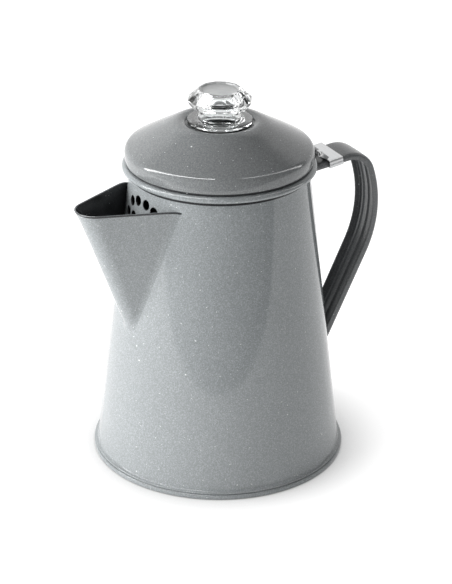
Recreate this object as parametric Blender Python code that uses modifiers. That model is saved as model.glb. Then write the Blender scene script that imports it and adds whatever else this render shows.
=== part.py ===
"""Enamelled coffee percolator with its brewing insert, in metres, +Z up.

The pot stands on z = 0 with its axis on Z. The handle points along +X in the XZ plane, and the spout
is a few degrees off -X. The lid is closed and the insert stands on the pot's floor.
"""

import math

import bmesh
import bpy
from mathutils import Matrix, Vector

MM = 0.001
GAP = 0.3 * MM  # between pieces that touch

# Pot wall, a cone that narrows upwards
WALL_R_FOOT = 77.4 * MM
WALL_SLOPE = 0.11876
SHEET = 1.0 * MM
CURL_R = 56.7 * MM
CURL_Z = 189.7 * MM
CURL_WIDE = 2.8 * MM
CURL_TALL = 2.1 * MM
FLANGE_R = 78.7 * MM
FLANGE_Z = 3.4 * MM

# Bottom disc with its seamed rim
BASE_R = 79.5 * MM
BASE_RIM_Z = 3.1 * MM
BASE_PLATE = 1.2 * MM

# Strainer holes behind the spout: (height, angles in degrees each side of their middle line)
STRAINER_R = 3.2 * MM
STRAINER_TURN = math.radians(7.5)  # their middle line, from -X towards -Y
STRAINER_ROWS = (
    (177.3, (4.3,)),
    (174.8, (11.7,)),
    (166.3, (0.0, 8.4, 16.8)),
    (157.5, (4.2, 12.6)),
    (148.7, (0.0, 8.4)),
)

# Spout
SPOUT_LOW_Z = 96.5 * MM
SPOUT_TOP_Z = 179.8 * MM
SPOUT_LEAN = 32.4 * MM  # how far its nose runs out between those two heights
SPOUT_LIP = 1.1 * MM  # and how much further the pouring edge flares
SPOUT_TURN = math.radians(5.5)  # its middle plane stands off the handle's, towards -Y
SPOUT_SPREAD = 22.4  # half the angle between its sides at the top, in degrees
SPOUT_LOW_SPREAD = 12.0  # how much wider that is at its lowest point
SPOUT_NOSE_R = 12.2 * MM
SPOUT_LOW_NOSE_R = 8.0 * MM
SPOUT_CORNER_DROP = 1.5 * MM

# Handle strap: its outer face runs along this path in the XZ plane
STRAP_HALF = 12.2 * MM
STRAP_LOW_HALF = 10.6 * MM
STRAP_DEPTH = 4.5 * MM
STRAP_TOP_DEPTH = 2.8 * MM
STRAP_RISE = math.radians(8.5)
STRAP_TOP_BEND = (83.8 * MM, 184.9 * MM)
STRAP_BEND_R = 17.9 * MM
STRAP_BEND_END = math.radians(-70.0)
STRAP_GRIP_R = 75.0 * MM
STRAP_FALL = math.radians(-115.7)

# Lid hinge
PIN_X = 66.0 * MM
PIN_Z = 187.5 * MM
PIN_R = 0.8 * MM
BORE_R = 1.1 * MM
KNUCKLE_R = 1.9 * MM
LEAF_HALF = 5.0 * MM
EAR_END = 8.6 * MM
CLIP_HALF = 13.9 * MM
CLIP_SHEET = 0.8 * MM
CLIP_FROM_X = 69.6 * MM
CLIP_LENGTH = 9.5 * MM
RIVET_Y = 2.6 * MM
RIVET_Z = 195.5 * MM
LEAF_TOP_Z = 198.0 * MM
RIVET_HOLE_R = 1.3 * MM
LID_EDGE_R = 58.2 * MM

# Lid and knob
LID_HOLE_R = 15.3 * MM
SEAT_R = 20.6 * MM
SEAT_Z = 216.7 * MM
SKIRT_R = 52.2 * MM
SKIRT_LOW_Z = 181.5 * MM
SKIRT_TOP_Z = 202.9 * MM
KNOB_FLANGE_R = 19.9 * MM
KNOB_FLANGE_Z = 218.1 * MM
KNOB_PLUG_R = 14.6 * MM
KNOB_BORE_R = 10.5 * MM
KNOB_TOP_Z = 238.4 * MM
KNOB_FACETS = 12
LUG_R = 17.3 * MM
LUG_TOP_Z = 215.3 * MM

# Brewing insert
TUBE_R = 5.0 * MM
TUBE_BORE_R = 4.2 * MM
TUBE_LOW_Z = 4.0 * MM
TUBE_TOP_Z = 211.0 * MM
FOOT_R = 36.0 * MM
FOOT_NOTCHES = 6
THIN = 0.8 * MM
BASKET_R = 42.0 * MM
BASKET_LOW_Z = 120.4 * MM
BASKET_TOP_Z = 170.0 * MM
SLEEVE_R = 6.4 * MM
SPREADER_Z = 165.4 * MM
HOLE_R = 1.5 * MM


# ---------------------------------------------------------------- scene and helpers


def clear_scene():
    for obj in list(bpy.data.objects):
        bpy.data.objects.remove(obj, do_unlink=True)


def new_collection(name):
    collection = bpy.data.collections.new(name)
    bpy.context.scene.collection.children.link(collection)
    return collection


def finish(name, colour, roughness, metallic=0.0, transmission=0.0):
    material = bpy.data.materials.new(name)
    material.use_nodes = True
    shader = material.node_tree.nodes["Principled BSDF"]
    shader.inputs["Base Color"].default_value = (*colour, 1.0)
    shader.inputs["Roughness"].default_value = roughness
    shader.inputs["Metallic"].default_value = metallic
    shader.inputs["Transmission Weight"].default_value = transmission
    material.diffuse_color = (*colour, 1.0)
    return material


def enamel(name):
    return finish(name, (0.37, 0.39, 0.39), 0.22)


def steel(name):
    return finish(name, (0.62, 0.62, 0.61), 0.32, 1.0)


def aluminium(name):
    return finish(name, (0.70, 0.71, 0.72), 0.38, 1.0)


def new_object(name, mesh, material=None):
    """An object in the part's collection or, without a material, a hidden cutter."""
    obj = bpy.data.objects.new(name, mesh)
    if material is None:
        cutters.objects.link(obj)
        obj.hide_render = True
        obj.display_type = "WIRE"
    else:
        part.objects.link(obj)
        obj.data.materials.append(material)
    return obj


def mesh_from(name, bm):
    bmesh.ops.recalc_face_normals(bm, faces=bm.faces)
    mesh = bpy.data.meshes.new(name)
    bm.to_mesh(mesh)
    bm.free()
    return mesh


def arc(centre_x, centre_z, radius_x, radius_z, start, end, steps):
    """Points on an ellipse from one angle to another, in degrees from +X towards +Z."""
    angles = [math.radians(start + (end - start) * i / steps) for i in range(steps + 1)]
    return [(centre_x + radius_x * math.cos(a), centre_z + radius_z * math.sin(a)) for a in angles]


def scaled(points):
    """Points given in millimetres."""
    return [(x * MM, z * MM) for x, z in points]


def turned(name, profile, material, segments=48, closed=False):
    """A solid of revolution about Z. The profile runs down its outer side, top to bottom."""
    mesh = bpy.data.meshes.new(name)
    count = len(profile)
    edges = [(i, i + 1) for i in range(count - 1)]
    if closed:
        edges.append((count - 1, 0))
    mesh.from_pydata([(x, 0.0, z) for x, z in profile], edges, [])
    obj = new_object(name, mesh, material)
    screw = obj.modifiers.new("Turn", "SCREW")
    screw.angle = math.tau
    screw.steps = screw.render_steps = segments
    screw.use_merge_vertices = True
    screw.merge_threshold = 1e-5
    screw.use_smooth_shade = True
    return obj


def cylinder(name, radius, start, end, material=None, sides=16):
    """A cylinder between two points."""
    start, end = Vector(start), Vector(end)
    bm = bmesh.new()
    bmesh.ops.create_cone(bm, cap_ends=True, segments=sides, radius1=radius, radius2=radius,
                          depth=(end - start).length)
    turn = (end - start).to_track_quat("Z", "Y").to_matrix().to_4x4()
    bmesh.ops.transform(bm, verts=bm.verts, matrix=Matrix.Translation((start + end) / 2) @ turn)
    return new_object(name, mesh_from(name, bm), material)


def block(name, low, high, material=None):
    """A box between two corners."""
    low, high = Vector(low), Vector(high)
    bm = bmesh.new()
    bmesh.ops.create_cube(bm, size=1.0)
    bmesh.ops.scale(bm, verts=bm.verts, vec=high - low)
    bmesh.ops.translate(bm, verts=bm.verts, vec=(low + high) / 2)
    return new_object(name, mesh_from(name, bm), material)


def plate(name, outline, half_width, material=None):
    """An outline in the XZ plane, extruded both ways along Y."""
    bm = bmesh.new()
    corners = [bm.verts.new((x, -half_width, z)) for x, z in outline]
    face = bm.faces.new(corners)
    wall = bmesh.ops.extrude_face_region(bm, geom=[face])
    moved = [item for item in wall["geom"] if isinstance(item, bmesh.types.BMVert)]
    bmesh.ops.translate(bm, verts=moved, vec=(0.0, 2 * half_width, 0.0))
    return new_object(name, mesh_from(name, bm), material)


def boolean(target, other, operation="DIFFERENCE", solver="EXACT"):
    modifier = target.modifiers.new(other.name, "BOOLEAN")
    modifier.operation = operation
    modifier.solver = solver
    modifier.object = other
    return target


def joined_cutters(name, pieces):
    """Cutters that don't touch each other, as one mesh."""
    bm = bmesh.new()
    for piece in pieces:
        bm.from_mesh(piece.data)
        bpy.data.objects.remove(piece, do_unlink=True)
    return new_object(name, mesh_from(name, bm))


def settle(obj):
    """Applies the object's modifiers, so that another Boolean can use it as a plain mesh."""
    bpy.context.view_layer.update()
    graph = bpy.context.evaluated_depsgraph_get()
    mesh = bpy.data.meshes.new_from_object(obj.evaluated_get(graph))
    obj.modifiers.clear()
    obj.data = mesh
    return obj


def drilled(target, radius, axis_from, axis_to, sides=12):
    name = f"{target.name}_bore_{len(target.modifiers)}"
    return boolean(target, cylinder(name, radius, axis_from, axis_to, sides=sides))


def wall_radius(z):
    return WALL_R_FOOT - WALL_SLOPE * z


def on_circle(radius, angle, z):
    return Vector((radius * math.cos(angle), radius * math.sin(angle), z))


def offset_line(points, distance):
    """The same open line moved sideways, to the left of its direction."""
    moved = []
    for i, point in enumerate(points):
        before = Vector(points[max(i - 1, 0)])
        after = Vector(points[min(i + 1, len(points) - 1)])
        along = (after - before).normalized()
        moved.append((point[0] - along.y * distance, point[1] + along.x * distance))
    return moved


# ---------------------------------------------------------------- pot


def pot_body():
    """The wall: a cone rolled over at the rim and flanged outwards at the foot."""
    fillet = 2.4 * MM
    foot_z = FLANGE_Z + SHEET
    outer = [(wall_radius(z * MM), z * MM) for z in (186, 93, 8.5)]
    outer += arc(FLANGE_R - 0.1 * MM, foot_z + fillet, fillet, fillet, 185, 262, 3)
    foot = [(FLANGE_R, foot_z), (FLANGE_R, FLANGE_Z), (wall_radius(FLANGE_Z) - SHEET, FLANGE_Z)]
    inner = [(wall_radius(z * MM) - SHEET, z * MM) for z in (93, 186)]
    roll = arc(CURL_R, CURL_Z, CURL_WIDE, CURL_TALL, 180, -115, 9)
    hollow = arc(CURL_R, CURL_Z, CURL_WIDE - SHEET, CURL_TALL - SHEET, -115, 180, 5)
    body = turned("pot_body", outer + foot + inner + roll + hollow, enamel("enamel_body"), 40, True)
    pieces = []
    for height, angles in STRAINER_ROWS:
        for angle in sorted({side * a for a in angles for side in (-1, 1)}):
            turn = math.pi + STRAINER_TURN + math.radians(angle)
            z = height * MM
            start = on_circle(wall_radius(z) - 8 * MM, turn, z)
            end = on_circle(wall_radius(z) + 8 * MM, turn, z)
            pieces.append(cylinder("hole", STRAINER_R, start, end, sides=10))
    return boolean(body, joined_cutters("strainer_holes", pieces))


def pot_base():
    """The flat bottom disc, whose rim is the hem of the seam."""
    top = [(0.0, BASE_PLATE)] + scaled([(75.2, 1.2), (75.9, 1.9)]) + [(76.3 * MM, BASE_RIM_Z)]
    hem = arc(BASE_R - 1.3 * MM, BASE_RIM_Z - 1.3 * MM, 1.3 * MM, 1.3 * MM, 90, 0, 3)
    lower = arc(BASE_R - 1.0 * MM, 1.0 * MM, 1.0 * MM, 1.0 * MM, 0, -90, 3)
    return turned("pot_base", top + hem + lower + [(0.0, 0.0)], enamel("enamel_base"), 40)


def wall_cutter(name):
    """The solid cone that keeps what is joined to the wall a gap clear of it."""
    ends = [(wall_radius(z) + GAP, z) for z in (195 * MM, 40 * MM)]
    return turned(name, [(0.0, ends[0][1]), *ends, (0.0, ends[1][1])], None, 80)


def run_to_circle(start, direction, radius):
    """Distance along a direction to a circle about the axis, or to the nearest point if it misses."""
    nearest = -start.dot(direction)
    inside = nearest * nearest - start.length_squared + radius * radius
    return nearest - math.sqrt(max(inside, 0.0))


def spout_row(height, drop):
    """Outline of the spout at one height, from one side of the wall round the nose to the other."""
    up = (height - SPOUT_LOW_Z) / (SPOUT_TOP_Z - SPOUT_LOW_Z)
    tip = wall_radius(SPOUT_LOW_Z) + SPOUT_LEAN * up + SPOUT_LIP * up**8
    nose = SPOUT_LOW_NOSE_R + (SPOUT_NOSE_R - SPOUT_LOW_NOSE_R) * up
    spread = math.radians(SPOUT_SPREAD + SPOUT_LOW_SPREAD * (1.0 - up) ** 1.3)
    centre = Vector((nose - tip, 0.0))
    along = Vector((math.cos(spread), math.sin(spread)))
    touch = centre + nose * Vector((-along.y, along.x))
    at_wall = max(run_to_circle(touch, along, wall_radius(height)), 1 * MM)
    inside = max(run_to_circle(touch, along, wall_radius(height) - 4 * MM), 3 * MM)
    runs = ((inside, drop), (at_wall, 0.6 * drop), (at_wall * 0.92, 0.15 * drop), (at_wall * 0.5, 0))
    half = [(*(touch + along * run), height - low) for run, low in runs]
    for i in range(5):
        angle = math.pi / 2 + spread + (math.pi / 2 - spread) * i / 4
        half.append((*(centre + nose * Vector((math.cos(angle), math.sin(angle)))), height))
    return half + [(x, -y, z) for x, y, z in reversed(half[:-1])]


def spout():
    """A bent sheet, open at the top, cut to sit on the wall."""
    low = SPOUT_LOW_Z - 7 * MM
    heights = [low + (SPOUT_TOP_Z - low) * i / 7 for i in range(8)]
    rows = [spout_row(z, SPOUT_CORNER_DROP if z == heights[-1] else 0.0) for z in heights]
    bm = bmesh.new()
    grid = [[bm.verts.new(point) for point in row] for row in rows]
    for below, above in zip(grid, grid[1:]):
        for i in range(len(below) - 1):
            bm.faces.new((below[i], below[i + 1], above[i + 1], above[i]))
    obj = new_object("spout", mesh_from("spout", bm), enamel("enamel_spout"))
    obj.data.transform(Matrix.Rotation(SPOUT_TURN, 4, "Z"))
    sheet = obj.modifiers.new("Sheet", "SOLIDIFY")
    sheet.thickness = SHEET
    sheet.offset = 0.0
    # The sheet folds onto itself inside the wall, where only this solver still cuts it off.
    return boolean(obj, wall_cutter("wall_behind_spout"), solver="MANIFOLD")


# ---------------------------------------------------------------- handle


def strap_path():
    """The outer face's line in XZ: a rise from the rim, two bends and a straight fall to the wall."""
    start_x = 50 * MM
    bend = Vector(STRAP_TOP_BEND)
    points = [Vector((start_x, bend.y - (bend.x - start_x) * math.tan(STRAP_RISE)))]
    heading = STRAP_RISE
    for radius, end, steps in ((STRAP_BEND_R, STRAP_BEND_END, 8), (STRAP_GRIP_R, STRAP_FALL, 7)):
        centre = bend + radius * Vector((math.sin(heading), -math.cos(heading)))
        for i in range(steps + 1):
            angle = heading + (end - heading) * i / steps
            point = centre + radius * Vector((-math.sin(angle), math.cos(angle)))
            if (point - points[-1]).length > 0.01 * MM:
                points.append(point)
        bend, heading = points[-1], end
    points.append(bend + 78 * MM * Vector((math.cos(heading), math.sin(heading))))
    return points


def strap_section(along):
    """The channel's section: (across, depth below the outer face), with three ribs along it.

    It narrows from the rim end (0) to the lower end (1), and is shallow where the clip goes round it.
    """
    half = (STRAP_HALF + (STRAP_LOW_HALF - STRAP_HALF) * along) / MM
    depth = (STRAP_TOP_DEPTH + (STRAP_DEPTH - STRAP_TOP_DEPTH) * min(5 * along, 1.0)) / MM
    web = SHEET / MM
    edge = [(half - 2.2, 0.0), (half - 0.65, 0.65), (half, 2.2), (half, depth),
            (half - web, depth), (half - web, 2.4), (half - 2.4, web)]
    ribs = []
    for centre in (6.2, 0.0, -6.2):
        ribs += [(centre + 1.6, web), (centre + 0.7, web + 0.8), (centre - 0.7, web + 0.8),
                 (centre - 1.6, web)]
    other = [(-across, down) for across, down in reversed(edge)]
    return [(across * MM, down * MM) for across, down in edge + ribs + other]


def handle_strap():
    """The section carried along the path, with its ends cut to the wall."""
    path = strap_path()
    bm = bmesh.new()
    rings = []
    for i, point in enumerate(path):
        before, after = path[max(i - 1, 0)], path[min(i + 1, len(path) - 1)]
        inward = Vector(((after - before).y, -(after - before).x)).normalized()
        section = strap_section(max(i - 1, 0) / (len(path) - 2))
        ring = [(point + inward * down, across) for across, down in section]
        rings.append([bm.verts.new((place.x, across, place.y)) for place, across in ring])
    for first, second in zip(rings, rings[1:]):
        for i in range(len(first)):
            j = (i + 1) % len(first)
            bm.faces.new((first[i], first[j], second[j], second[i]))
    bm.faces.new(rings[0])
    bm.faces.new(rings[-1])
    obj = new_object("handle_strap", mesh_from("handle_strap", bm), enamel("enamel_handle"))
    return boolean(obj, wall_cutter("wall_behind_strap"))


def strap_height(x):
    """Height of the strap's outer face where it rises from the rim."""
    return STRAP_TOP_BEND[1] - (STRAP_TOP_BEND[0] - x) * math.tan(STRAP_RISE)


# ---------------------------------------------------------------- hinge


def clip_section():
    """Half of the C-shaped band round the strap: (across, up from the strap's outer face)."""
    half, sheet = CLIP_HALF / MM, CLIP_SHEET / MM
    top, low, lip = 0.6 + sheet, -3.1 - sheet, 8.5
    outside = [(0, top), (half - 1.2, top), (half - 0.35, top - 0.35), (half, top - 1.2),
               (half, low + 1.0), (half - 0.3, low + 0.3), (half - 1.0, low), (lip, low)]
    inside = [(lip, low + sheet), (half - 1.1, low + sheet), (half - sheet, low + 1.1),
              (half - sheet, top - 1.3), (half - 1.3, top - sheet), (0, top - sheet)]
    return [(across * MM, up * MM) for across, up in outside + inside]


def hinge_clip():
    """The band, with an ear each side that carries the pin."""
    half = clip_section()
    outline = half + [(-across, up) for across, up in reversed(half) if across > 0]
    start = Vector((CLIP_FROM_X, 0.0, strap_height(CLIP_FROM_X)))
    along = Vector((math.cos(STRAP_RISE), 0.0, math.sin(STRAP_RISE)))
    up = Vector((-along.z, 0.0, along.x))
    bm = bmesh.new()
    near = [bm.verts.new(start + Vector((0, a, 0)) + up * u) for a, u in outline]
    face = bm.faces.new(near)
    grown = bmesh.ops.extrude_face_region(bm, geom=[face])
    moved = [item for item in grown["geom"] if isinstance(item, bmesh.types.BMVert)]
    bmesh.ops.translate(bm, verts=moved, vec=along * CLIP_LENGTH)
    clip = new_object("hinge_clip", mesh_from("hinge_clip", bm), steel("satin_steel_clip"))
    top = start + up * (0.6 * MM + CLIP_SHEET)
    root = top + along * 2.0 * MM
    for side in (-1, 1):
        middle = side * (LEAF_HALF + GAP + EAR_END) / 2
        width = (EAR_END - LEAF_HALF - GAP) / 2
        arm = plate(f"clip_ear_{side}", [
            (root.x, root.z - 0.1 * MM), (PIN_X + 0.4 * MM, PIN_Z + KNUCKLE_R - 0.2 * MM),
            (PIN_X - 1.3 * MM, PIN_Z + 0.2 * MM), (PIN_X - 0.2 * MM, PIN_Z - KNUCKLE_R + 0.2 * MM),
            (root.x - 1.6 * MM, root.z - CLIP_SHEET - 0.2 * MM), (root.x, root.z - CLIP_SHEET),
        ], width)
        arm.data.transform(Matrix.Translation((0, middle, 0)))
        knuckle = cylinder(f"clip_knuckle_{side}", KNUCKLE_R, (PIN_X, middle - width, PIN_Z),
                           (PIN_X, middle + width, PIN_Z), sides=16)
        boolean(clip, arm, "UNION")
        boolean(clip, knuckle, "UNION")
    return drilled(clip, BORE_R, (PIN_X, -20 * MM, PIN_Z), (PIN_X, 20 * MM, PIN_Z))


def hinge_pin():
    """A straight pin with a mushroomed head at each end."""
    end = EAR_END + GAP
    half = [(0.0, end + 0.7 * MM), (1.0 * MM, end + 0.6 * MM), (1.4 * MM, end), (PIN_R, end)]
    profile = half + [(x, -z) for x, z in reversed(half)]
    pin = turned("hinge_pin", profile, steel("bright_steel_pin"), 14)
    pin.location = (PIN_X, 0.0, PIN_Z)
    pin.rotation_euler = (math.radians(90), 0.0, 0.0)
    return pin


def leaf_line():
    """Middle line of the leaf's strip in XZ, from the lid's edge down and back to the knuckle."""
    face = LID_EDGE_R + 0.4 * MM + SHEET / 2
    bend = arc(face + 2.0 * MM, 194.0 * MM, 2.0 * MM, 2.0 * MM, 180, 232, 4)
    return [(face, LEAF_TOP_Z), *bend, (PIN_X - 1.3 * MM, PIN_Z + KNUCKLE_R - 0.9 * MM)]


def lid_hinge_leaf():
    line = leaf_line()
    left, right = offset_line(line, SHEET / 2), offset_line(line, -SHEET / 2)
    leaf = plate("lid_hinge_leaf", left + right[::-1], LEAF_HALF, steel("satin_steel_leaf"))
    knuckle = cylinder("leaf_knuckle", KNUCKLE_R, (PIN_X, -LEAF_HALF, PIN_Z),
                       (PIN_X, LEAF_HALF, PIN_Z), sides=16)
    boolean(leaf, knuckle, "UNION")
    drilled(leaf, BORE_R, (PIN_X, -10 * MM, PIN_Z), (PIN_X, 10 * MM, PIN_Z))
    for side in (-1, 1):
        y = side * RIVET_Y
        drilled(leaf, RIVET_HOLE_R, (54 * MM, y, RIVET_Z), (64 * MM, y, RIVET_Z))
    return leaf


def lid_rivet(name, side):
    """A rivet through the leaf and the lid's edge, headed on both sides."""
    out = LID_EDGE_R + 0.4 * MM + SHEET + GAP
    back = LID_EDGE_R - SHEET - 1.2 * MM
    length = out - back
    profile = scaled([(0, 0.9), (1.1, 0.7), (1.8, 0.0), (1.0, 0.0)])
    profile += [(1.0 * MM, -length), (1.8 * MM, -length), (1.2 * MM, -length - 0.7 * MM),
                (0.0, -length - 0.8 * MM)]
    rivet = turned(name, profile, steel(f"steel_{name}"), 12)
    rivet.location = (out, side * RIVET_Y, RIVET_Z)
    rivet.rotation_euler = (0.0, math.radians(90), 0.0)
    return rivet


# ---------------------------------------------------------------- lid and knob


def lid_line():
    """The lid's outer face from the hole's edge, over the boss and the shoulder, to its lower edge."""
    seat = [(LID_HOLE_R, SEAT_Z), (SEAT_R, SEAT_Z)]
    boss = scaled([(21.4, 217.8), (23.2, 218.4), (25.5, 218.5), (28.5, 217.9), (31.5, 216.6),
                   (34.5, 214.5), (37.5, 212.5), (42.0, 209.8), (47.0, 207.1), (53.0, 204.2)])
    shoulder = arc(53.3 * MM, 198.6 * MM, 4.9 * MM, 5.0 * MM, 68, 0, 3)
    edge = scaled([(57.9, 194.8), (56.9, 192.2)])
    return seat + boss + shoulder + edge


def lid_dome():
    line = lid_line()
    under = offset_line(line, -SHEET)
    under[0] = (line[0][0], line[0][1] - SHEET)
    under[-1] = (line[-1][0] - 0.9 * SHEET, line[-1][1] + 0.1 * SHEET)
    lid = turned("lid_dome", line + under[::-1], enamel("enamel_lid"), 40, True)
    notches = [block("notch", (-3.2 * MM, side * 16.4 * MM - 1.6 * MM, 214 * MM),
                     (3.2 * MM, side * 16.4 * MM + 1.6 * MM, 219 * MM)) for side in (-1, 1)]
    holes = [cylinder("hole", RIVET_HOLE_R, (54 * MM, side * RIVET_Y, RIVET_Z),
                      (64 * MM, side * RIVET_Y, RIVET_Z), sides=12) for side in (-1, 1)]
    return boolean(lid, joined_cutters("lid_holes", notches + holes))


def lid_skirt():
    """The collar under the lid that drops into the rim."""
    line = [(SKIRT_R - 0.6 * MM, SKIRT_TOP_Z), (SKIRT_R, SKIRT_TOP_Z - 3 * MM),
            (SKIRT_R, SKIRT_LOW_Z + 2 * MM), (SKIRT_R - 0.8 * MM, SKIRT_LOW_Z)]
    inner = [(x - THIN, z) for x, z in reversed(line)]
    return turned("lid_skirt", line + inner, enamel("enamel_skirt"), 32, True)


def knob_gasket():
    low, high = SEAT_Z + GAP, KNOB_FLANGE_Z - GAP
    ring = [(19.5 * MM, high), (19.5 * MM, low), (15.7 * MM, low), (15.7 * MM, high)]
    return turned("knob_gasket", ring, finish("black_rubber", (0.02, 0.02, 0.02), 0.6), 24, True)


def glass_knob():
    """Flange, neck and plug turned round, the head cut in facets, all hollow from below."""
    glass = finish("clear_glass", (0.95, 0.97, 0.97), 0.03, 0.0, 1.0)
    flange = scaled([(0, 226), (13.7, 226), (13.2, 222.5), (12.6, 220.3), (13.4, 219.5)])
    rim = [(KNOB_FLANGE_R - 0.5 * MM, 219.5 * MM), (KNOB_FLANGE_R, 219.0 * MM),
           (KNOB_FLANGE_R, 218.5 * MM), (KNOB_FLANGE_R - 0.4 * MM, KNOB_FLANGE_Z)]
    plug = [(KNOB_PLUG_R, KNOB_FLANGE_Z), (KNOB_PLUG_R, 211 * MM), (0.0, 211 * MM)]
    knob = turned("glass_knob", flange + rim + plug, glass, 24)
    head_line = [(0.0, KNOB_TOP_Z - 0.4 * MM)]
    head_line += scaled([(12.0, 238.0), (12.6, 238.4), (16.0, 238.3), (19.4, 231.5), (16.4, 227.0),
                         (13.8, 225.0), (0, 225.0)])
    head = turned("knob_head", head_line, None, KNOB_FACETS)
    boolean(knob, settle(head), "UNION")
    lug_low = LUG_TOP_Z - 2.2 * MM
    lugs = block("knob_lugs", (-LUG_R, -2.4 * MM, lug_low), (LUG_R, 2.4 * MM, LUG_TOP_Z))
    boolean(knob, lugs, "UNION")
    bore = [(0.0, 233.5 * MM), (6.0 * MM, 233.0 * MM), (9.6 * MM, 230.5 * MM),
            (KNOB_BORE_R, 227 * MM), (KNOB_BORE_R, 205 * MM), (0.0, 205 * MM)]
    return boolean(knob, settle(turned("knob_bore", bore, None, 24)))


# ---------------------------------------------------------------- brewing insert


def pump_tube():
    """The riser, with a lip at its foot that keeps the washer on."""
    outer = [(TUBE_R, TUBE_TOP_Z), (TUBE_R, TUBE_LOW_Z + THIN), (8 * MM, TUBE_LOW_Z + THIN),
             (8 * MM, TUBE_LOW_Z), (TUBE_BORE_R, TUBE_LOW_Z), (TUBE_BORE_R, TUBE_TOP_Z)]
    return turned("pump_tube", outer, aluminium("aluminium_tube"), 16, True)


def pump_foot():
    """The bell, which stands on the pot's floor on its rim and lets water in through notches."""
    stand = BASE_PLATE + GAP
    line = [(TUBE_R + GAP, 19 * MM), (TUBE_R + GAP + THIN, 19 * MM), (8 * MM, 13.6 * MM),
            (18 * MM, 12.0 * MM), (27 * MM, 9.2 * MM), (FOOT_R - 2 * MM, 3.4 * MM),
            (FOOT_R, 2.8 * MM), (FOOT_R, stand)]
    under = [(FOOT_R - THIN, stand), (FOOT_R - 2.8 * MM, 2.7 * MM), (26.5 * MM, 8.3 * MM),
             (17.8 * MM, 11.1 * MM), (7.6 * MM, 12.6 * MM), (TUBE_R + GAP, 14.2 * MM)]
    bell = turned("pump_foot", line + under, aluminium("aluminium_foot"), 30, True)
    cuts = []
    for i in range(FOOT_NOTCHES):
        turn = math.tau * (i + 0.5) / FOOT_NOTCHES
        start, end = on_circle(26 * MM, turn, 2.6 * MM), on_circle(40 * MM, turn, 2.6 * MM)
        cuts.append(cylinder("notch", 2.6 * MM, start, end, sides=10))
    return boolean(bell, joined_cutters("foot_notches", cuts))


def valve_disc():
    low = TUBE_LOW_Z + THIN + GAP
    ring = [(14 * MM, low + THIN), (14 * MM, low), (TUBE_R + 0.5 * MM, low),
            (TUBE_R + 0.5 * MM, low + THIN)]
    return turned("valve_disc", ring, steel("steel_washer"), 20, True)


def basket_seat():
    """The ring pressed on the tube that carries the basket."""
    low, high = 117.0 * MM, 119.0 * MM
    ring = [(8.6 * MM, high), (9.0 * MM, high - 0.4 * MM), (9.0 * MM, low + 0.4 * MM),
            (8.6 * MM, low), (TUBE_R + 0.2 * MM, low), (TUBE_R + 0.2 * MM, high)]
    return turned("basket_seat", ring, aluminium("aluminium_seat"), 16, True)


def perforation(name, rings, z):
    """Cutters for rings of small holes through a plate at one height: (ring radius, count)."""
    cuts = []
    for radius, count in rings:
        for i in range(count):
            place = on_circle(radius * MM, math.tau * (i + 0.5) / count, z)
            reach = Vector((0, 0, 3 * MM))
            cuts.append(cylinder("hole", HOLE_R, place - reach, place + reach, sides=6))
    return joined_cutters(name, cuts)


def brew_basket():
    """The cup, with a rolled-out rim and a perforated floor."""
    inside = BASKET_R - THIN
    hub = SLEEVE_R + GAP
    rim = BASKET_R + 1.6 * MM
    line = [(rim, BASKET_TOP_Z), (rim, BASKET_TOP_Z - THIN), (BASKET_R, BASKET_TOP_Z - THIN),
            (BASKET_R, BASKET_LOW_Z + 2.6 * MM), (BASKET_R - 2.6 * MM, BASKET_LOW_Z),
            (hub, BASKET_LOW_Z), (hub, BASKET_LOW_Z + THIN),
            (inside - 2.2 * MM, BASKET_LOW_Z + THIN), (inside, BASKET_LOW_Z + 3.0 * MM),
            (inside, BASKET_TOP_Z)]
    cup = turned("brew_basket", line, aluminium("aluminium_basket"), 32, True)
    return boolean(cup, perforation("basket_holes", ((16, 8), (28, 14)), BASKET_LOW_Z))


def basket_sleeve():
    """The basket's centre tube, flanged under its floor."""
    inside = TUBE_R + 0.5 * MM
    low = BASKET_LOW_Z - GAP
    line = [(SLEEVE_R, BASKET_TOP_Z - 1.5 * MM), (SLEEVE_R, low), (9.5 * MM, low),
            (9.5 * MM, low - THIN), (inside, low - THIN), (inside, BASKET_TOP_Z - 1.5 * MM)]
    return turned("basket_sleeve", line, aluminium("aluminium_sleeve"), 16, True)


def basket_spreader():
    """The dished plate on the basket's rim that spreads the water over the coffee."""
    low, top = SPREADER_Z, BASKET_TOP_Z + GAP
    line = [(44 * MM, top + THIN), (44 * MM, top), (40.8 * MM, top), (40.2 * MM, low),
            (8.0 * MM, low), (8.0 * MM, low + 6 * MM), (8.8 * MM, low + 6 * MM),
            (8.8 * MM, low + THIN), (39.5 * MM, low + THIN), (40.0 * MM, top + THIN)]
    dish = turned("basket_spreader", line, aluminium("aluminium_spreader"), 32, True)
    return boolean(dish, perforation("spreader_holes", ((16, 8), (25, 12), (34, 16)), low))


# ---------------------------------------------------------------- build

clear_scene()
part = new_collection("coffee_percolator")
cutters = new_collection("cutters")

pot_body()
pot_base()
spout()
handle_strap()
hinge_clip()
hinge_pin()
lid_hinge_leaf()
lid_rivet("lid_rivet_left", 1)
lid_rivet("lid_rivet_right", -1)
lid_dome()
lid_skirt()
knob_gasket()
glass_knob()
pump_tube()
pump_foot()
valve_disc()
basket_seat()
brew_basket()
basket_sleeve()
basket_spreader()
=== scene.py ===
"""Looks of an enamelled coffee percolator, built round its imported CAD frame.

Metres, +Z up, in the frame's own axes: the pot stands on z = 0 with its axis on Z, the handle points
along +X and the spout a few degrees off -X. Each large piece is a fine mesh that stands for its CAD
node and rides on that node's body; the small ones are the CAD nodes themselves, with their edges broken.
Profiles are written in millimetres and scaled by MM.
"""

import math

import bmesh
import bpy
from mathutils import Matrix, Vector


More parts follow.
